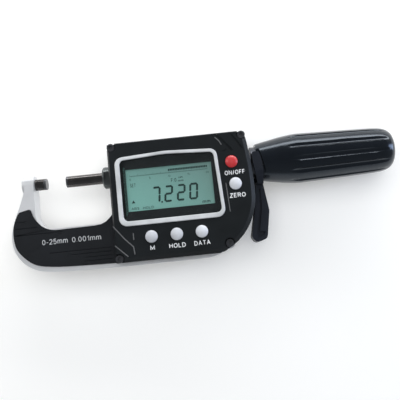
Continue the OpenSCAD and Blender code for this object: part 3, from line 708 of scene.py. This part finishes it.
# text, centre, cap height, width and weight
LCD_WORDS = {
    "lcd_unit": ("mm", (90.5, -20.6), 1.5, 4.4, 0.2),
    "lcd_abs": ("ABS", (50.8, -20.7), 1.15, 4.4, 0.18),
    "lcd_hold": ("HOLD", (58.1, -20.8), 1.15, 6.0, 0.18),
    "lcd_set": ("SET", (50.5, -7.6), 1.8, 3.1, 0.16),
    "lcd_fine": ("F:0", (73.5, -6.9), 1.8, 3.0, 0.16),
    "lcd_inch": ("in", (77.5, -5.6), 1.0, 2.2, 0.2),
    "lcd_metric": ("mm", (77.4, -7.5), 1.0, 3.0, 0.2),
}
for name, (text, centre, height, width, weight) in LCD_WORDS.items():
    words(name, text, centre, height, INK_Z, FINISH["ink_lcd"], width, weight)

# ---------------------------------------------------------------- floor, light and camera


def pale_floor():
    """Matt paper that glows a little, so that the floor stays pale."""
    graph = Graph("pale_floor")
    sheet = graph.clouds(graph.noise(6), (0.80, 0.80, 0.79), (0.82, 0.82, 0.81))
    graph.link(sheet, graph.shader.inputs["Emission Color"])
    graph.set(Roughness=0.9, Emission_Strength=0.3)
    return graph.mat


FLOOR_LEFT, FLOOR_RIGHT, FLOOR_DEPTH = -2.0, 2.2, 2.0     # metres
floor_mesh = bpy.data.meshes.new("floor")
floor_mesh.from_pydata([(FLOOR_LEFT, -FLOOR_DEPTH, FLOOR_Z * MM), (FLOOR_RIGHT, -FLOOR_DEPTH, FLOOR_Z * MM),
                        (FLOOR_RIGHT, FLOOR_DEPTH, FLOOR_Z * MM), (FLOOR_LEFT, FLOOR_DEPTH, FLOOR_Z * MM)],
                       [], [(0, 1, 2, 3)])
floor_mesh.materials.append(pale_floor())
floor = bpy.data.objects.new("floor", floor_mesh)
bpy.context.scene.collection.objects.link(floor)

# how bright the sky is from the horizon and below it (0) to straight above (1), and its tint
SKY = [(0.0, 0.98), (0.07, 0.85), (0.16, 0.30), (0.80, 0.24), (1.0, 0.17)]
SKY_TINT = (0.92, 0.96, 1)


def studio():
    """A world that is brightest low down, as the pale floor and walls of a studio are in reflections."""
    world = bpy.data.worlds.new("studio")
    world.use_nodes = True
    tree = world.node_tree
    direction = tree.nodes.new("ShaderNodeTexCoord").outputs["Generated"]
    split = tree.nodes.new("ShaderNodeSeparateXYZ")
    tree.links.new(direction, split.inputs[0])
    band = tree.nodes.new("ShaderNodeValToRGB")
    elements = band.color_ramp.elements
    while len(elements) < len(SKY):
        elements.new(0.5)
    for element, (place, grey) in zip(elements, SKY):
        element.position = place
        element.color = (*(grey * part for part in SKY_TINT), 1)
    tree.links.new(split.outputs["Z"], band.inputs["Fac"])
    tree.links.new(band.outputs["Color"], tree.nodes["Background"].inputs["Color"])
    return world


bpy.context.scene.world = studio()
bpy.context.scene.view_settings.view_transform = "Standard"


def area_light(name, place, aim, size, radiance, colour=(1, 1, 1), mirrored=True):
    """Rectangular soft light, places and size in metres, as bright as radiance where a mirror shows it.

    A light that isn't mirrored lights glossy surfaces without a reflection of itself."""
    lamp = bpy.data.lights.new(name, "AREA")
    lamp.shape = "RECTANGLE"
    lamp.size, lamp.size_y = size
    lamp.energy = radiance * math.pi * size[0] * size[1]
    lamp.color = colour
    obj = bpy.data.objects.new(name, lamp)
    obj.visible_glossy = mirrored
    obj.location = place
    obj.rotation_euler = (Vector(aim) - Vector(place)).to_track_quat("-Z", "Y").to_euler()
    bpy.context.scene.collection.objects.link(obj)


MIDDLE = (0.09, -0.015, 0)
area_light("strip_behind", (0.30, 0.56, 0.19), (0.16, 0, 0), (1.0, 0.14), 7.0)
area_light("window_right", (0.72, 0.04, 0.17), MIDDLE, (0.16, 0.40), 6.5, (0.62, 0.74, 1))
area_light("window_left", (-0.45, 0.20, 0.40), MIDDLE, (0.40, 0.40), 1.5)
area_light("soft_fill", (0.09, 0.15, 1.0), MIDDLE, (1.2, 1.2), 1.6, mirrored=False)

AIM = Vector((0.087, -0.0183, 0))
DISTANCE = 0.320
PITCH = math.radians(7)             # from straight in front, towards the bottom edge
ROLL = math.radians(5.92)
SENSOR, LENS = 36, 50.09            # mm
NEAREST = 0.01
camera_data = bpy.data.cameras.new("camera")
camera_data.sensor_width = SENSOR
camera_data.lens = LENS
camera_data.clip_start = NEAREST
camera = bpy.data.objects.new("camera", camera_data)
camera.matrix_world = (Matrix.Translation(AIM + DISTANCE * Vector((0, -math.sin(PITCH), math.cos(PITCH))))
                       @ Matrix.Rotation(PITCH, 4, "X") @ Matrix.Rotation(-ROLL, 4, "Z"))
bpy.context.scene.collection.objects.link(camera)
bpy.context.scene.camera = camera
